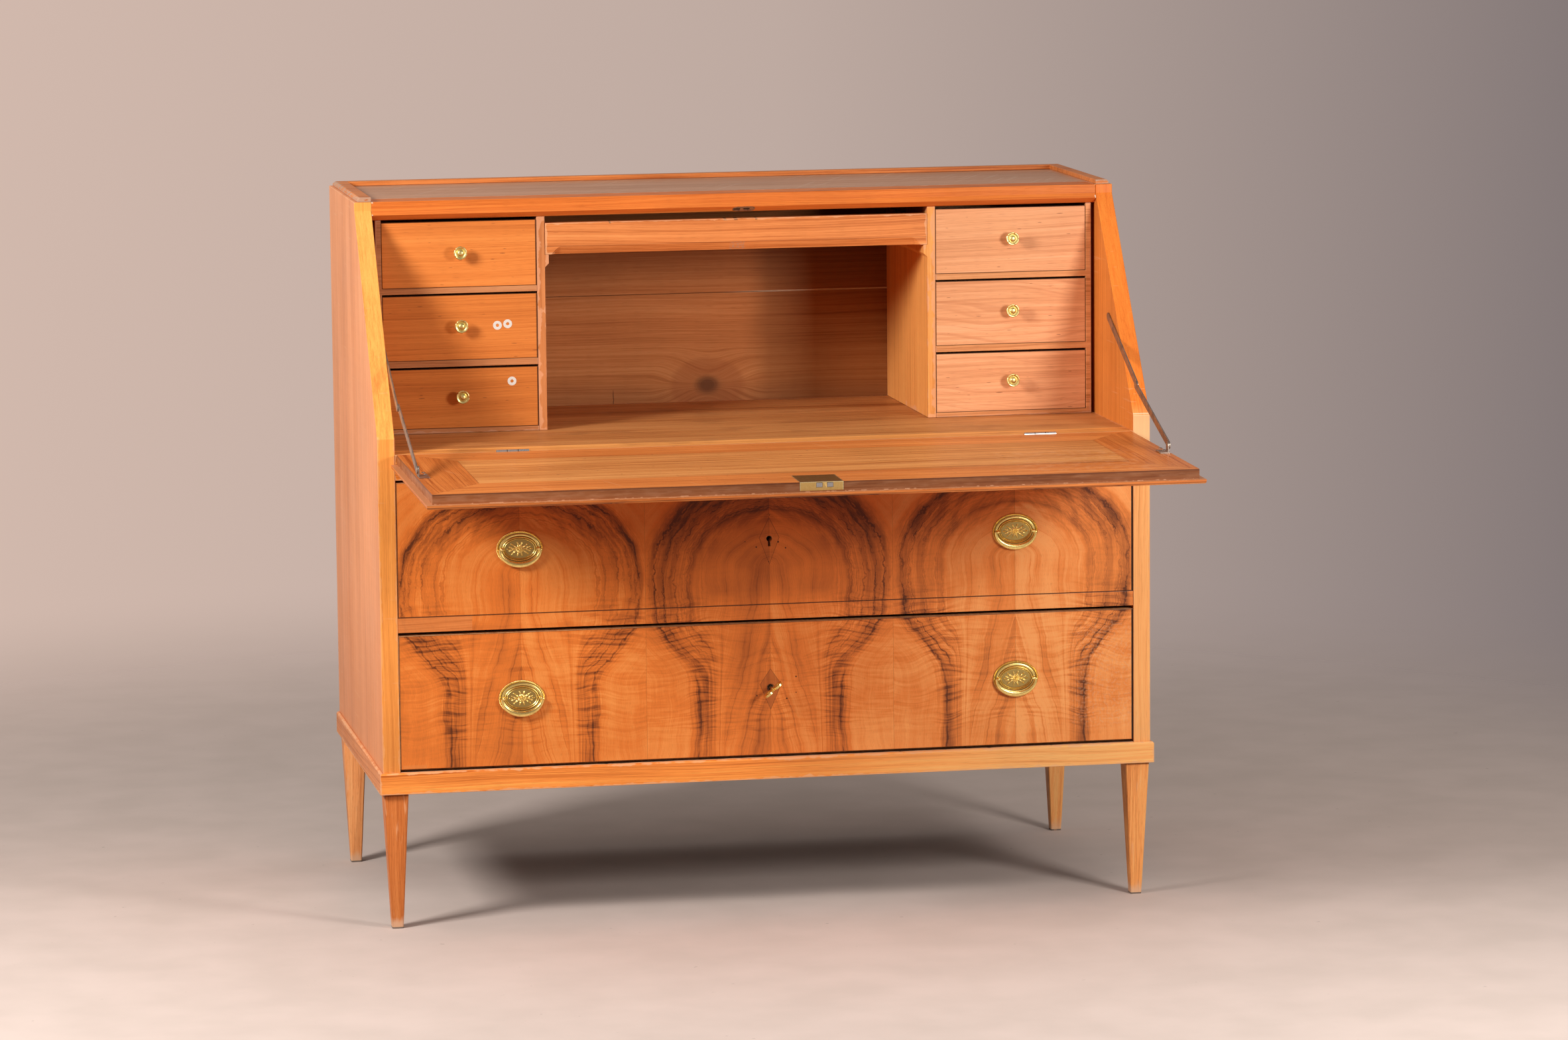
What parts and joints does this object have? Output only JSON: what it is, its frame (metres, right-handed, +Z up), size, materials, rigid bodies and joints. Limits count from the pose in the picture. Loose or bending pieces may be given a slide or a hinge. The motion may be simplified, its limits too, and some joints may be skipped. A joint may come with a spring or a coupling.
{
  "type": "slant front secretaire",
  "caption": "Slant front secretaire on tapered legs: a lipped fall on folding stays, small inner drawers round a compartment, and large drawers below.",
  "frame": {"origin": "centre of the object's box at rest, at floor level", "axes": "+X to the right seen from the front, +Y towards the back, +Z up"},
  "size_m": [1.2304, 1.0202, 1.1185],
  "materials": {
    "side_wood": "salmon brown, fine vertical grain, satin",
    "edge_wood": "golden brown front edges, worn satin",
    "drawer_veneer": "figured veneer, satin polish",
    "desk_wood": "orange brown, worn polish",
    "small_drawer_wood": "pale salmon brown, fine horizontal grain",
    "inner_wood": "brown inside boards, matt",
    "top_wood": "faded greyish brown, scratched",
    "moulding_wood": "brown moulding, worn edges",
    "leg_wood": "orange brown, paler worn feet",
    "back_wood": "raw softwood boards, matt",
    "brass": "stamped brass, aged polish",
    "lock_brass": "dull brass",
    "steel": "dark worn steel"
  },
  "bodies": {
    "case": {"gable_left": "side_wood", "gable_right": "side_wood", "top_board": "top_wood", "cap_moulding": "moulding_wood", "top_rail": "edge_wood", "back_board_lower": "back_wood", "back_board_upper": "back_wood", "bottom_board": "back_wood", "base_moulding_front": "moulding_wood", "base_moulding_left": "moulding_wood", "base_moulding_right": "moulding_wood", "leg_front_left": "leg_wood", "leg_front_right": "leg_wood", "leg_back_left": "leg_wood", "leg_back_right": "leg_wood", "desk_board": "desk_wood", "desk_rail": "edge_wood", "middle_rail": "edge_wood", "partition_left": "inner_wood", "partition_right": "inner_wood", "drawer_nest_left": "inner_wood", "drawer_nest_right": "inner_wood", "hinge_desk_leaf_left": "steel", "hinge_desk_leaf_right": "steel"},
    "fall": {"fall": "desk_wood", "hinge_fall_leaf_left": "steel", "hinge_fall_leaf_right": "steel", "stay_bracket_left": "steel", "stay_bracket_right": "steel", "fall_lock": "lock_brass"},
    "fall_bolts": {"fall_bolts": "steel"},
    "stay_upper_left": {"stay_upper_left": "steel"},
    "stay_lower_left": {"stay_lower_left": "steel"},
    "stay_upper_right": {"stay_upper_right": "steel"},
    "stay_lower_right": {"stay_lower_right": "steel"},
    "small_drawer_left_1": {"small_drawer_left_1": "small_drawer_wood", "knob_left_1": "brass"},
    "small_drawer_left_2": {"small_drawer_left_2": "small_drawer_wood", "knob_left_2": "brass"},
    "small_drawer_left_3": {"small_drawer_left_3": "small_drawer_wood", "knob_left_3": "brass"},
    "small_drawer_right_1": {"small_drawer_right_1": "small_drawer_wood", "knob_right_1": "brass"},
    "small_drawer_right_2": {"small_drawer_right_2": "small_drawer_wood", "knob_right_2": "brass"},
    "small_drawer_right_3": {"small_drawer_right_3": "small_drawer_wood", "knob_right_3": "brass"},
    "tray_drawer": {"tray_drawer": "small_drawer_wood"},
    "drawer_upper": {"drawer_upper": "drawer_veneer", "handle_plate_upper_left": "brass", "handle_plate_upper_right": "brass"},
    "bail_upper_left": {"bail_upper_left": "brass"},
    "bail_upper_right": {"bail_upper_right": "brass"},
    "drawer_lower": {"drawer_lower": "drawer_veneer", "handle_plate_lower_left": "brass", "handle_plate_lower_right": "brass", "drawer_lock": "steel"},
    "bail_lower_left": {"bail_lower_left": "brass"},
    "bail_lower_right": {"bail_lower_right": "brass"},
    "key": {"key": "brass"}
  },
  "joints": [
    {"name": "fall_hinge", "type": "hinge", "parent": "case", "child": "fall", "pos_m": [0, -0.08087, 0.742], "axis": [1, 0, 0], "range_deg": [-127.55, 0]},
    {"name": "bolt_slide", "type": "slide", "parent": "fall", "child": "fall_bolts", "axis": [0, -0.9998, -0.0175], "range_m": [0, 0.008]},
    {"name": "stay_upper_left_pivot", "type": "hinge", "parent": "case", "child": "stay_upper_left", "pos_m": [-0.5815, 0.07579, 0.90731], "axis": [1, 0, 0], "range_deg": [0, 23.53]},
    {"name": "stay_lower_left_pivot", "type": "hinge", "parent": "fall", "child": "stay_lower_left", "pos_m": [-0.5792, -0.32103, 0.74881], "axis": [1, 0, 0], "range_deg": [-17.38, 0]},
    {"name": "stay_upper_right_pivot", "type": "hinge", "parent": "case", "child": "stay_upper_right", "pos_m": [0.5815, 0.07579, 0.90731], "axis": [1, 0, 0], "range_deg": [0, 23.53]},
    {"name": "stay_lower_right_pivot", "type": "hinge", "parent": "fall", "child": "stay_lower_right", "pos_m": [0.5792, -0.32103, 0.74881], "axis": [1, 0, 0], "range_deg": [-17.38, 0]},
    {"name": "small_drawer_left_1_slide", "type": "slide", "parent": "case", "child": "small_drawer_left_1", "axis": [0, -1, 0], "range_m": [0, 0.22]},
    {"name": "small_drawer_left_2_slide", "type": "slide", "parent": "case", "child": "small_drawer_left_2", "axis": [0, -1, 0], "range_m": [0, 0.22]},
    {"name": "small_drawer_left_3_slide", "type": "slide", "parent": "case", "child": "small_drawer_left_3", "axis": [0, -1, 0], "range_m": [0, 0.22]},
    {"name": "small_drawer_right_1_slide", "type": "slide", "parent": "case", "child": "small_drawer_right_1", "axis": [0, -1, 0], "range_m": [0, 0.22]},
    {"name": "small_drawer_right_2_slide", "type": "slide", "parent": "case", "child": "small_drawer_right_2", "axis": [0, -1, 0], "range_m": [0, 0.22]},
    {"name": "small_drawer_right_3_slide", "type": "slide", "parent": "case", "child": "small_drawer_right_3", "axis": [0, -1, 0], "range_m": [0, 0.22]},
    {"name": "tray_drawer_slide", "type": "slide", "parent": "case", "child": "tray_drawer", "axis": [0, -1, 0], "range_m": [0, 0.22]},
    {"name": "drawer_upper_slide", "type": "slide", "parent": "case", "child": "drawer_upper", "axis": [0, -1, 0], "range_m": [0, 0.4]},
    {"name": "bail_upper_left_hinge", "type": "hinge", "parent": "drawer_upper", "child": "bail_upper_left", "pos_m": [-0.392, -0.08707, 0.59015], "axis": [-1, 0, 0], "range_deg": [0, 100]},
    {"name": "bail_upper_right_hinge", "type": "hinge", "parent": "drawer_upper", "child": "bail_upper_right", "pos_m": [0.392, -0.08707, 0.59015], "axis": [-1, 0, 0], "range_deg": [0, 100]},
    {"name": "drawer_lower_slide", "type": "slide", "parent": "case", "child": "drawer_lower", "axis": [0, -1, 0], "range_m": [0, 0.4]},
    {"name": "bail_lower_left_hinge", "type": "hinge", "parent": "drawer_lower", "child": "bail_lower_left", "pos_m": [-0.392, -0.08707, 0.35665], "axis": [-1, 0, 0], "range_deg": [0, 100]},
    {"name": "bail_lower_right_hinge", "type": "hinge", "parent": "drawer_lower", "child": "bail_lower_right", "pos_m": [0.392, -0.08707, 0.35665], "axis": [-1, 0, 0], "range_deg": [0, 100]},
    {"name": "key_turn", "type": "hinge", "parent": "drawer_lower", "child": "key", "pos_m": [0, -0.08087, 0.35765], "axis": [0, -1, 0], "range_deg": [0, 180]}
  ],
  "couplings": [
    {"joint": "stay_upper_left_pivot", "follows": "fall_hinge", "ratio": -0.18445},
    {"joint": "stay_lower_left_pivot", "follows": "fall_hinge", "ratio": 0.13624},
    {"joint": "stay_upper_right_pivot", "follows": "fall_hinge", "ratio": -0.18445},
    {"joint": "stay_lower_right_pivot", "follows": "fall_hinge", "ratio": 0.13624}
  ]
}
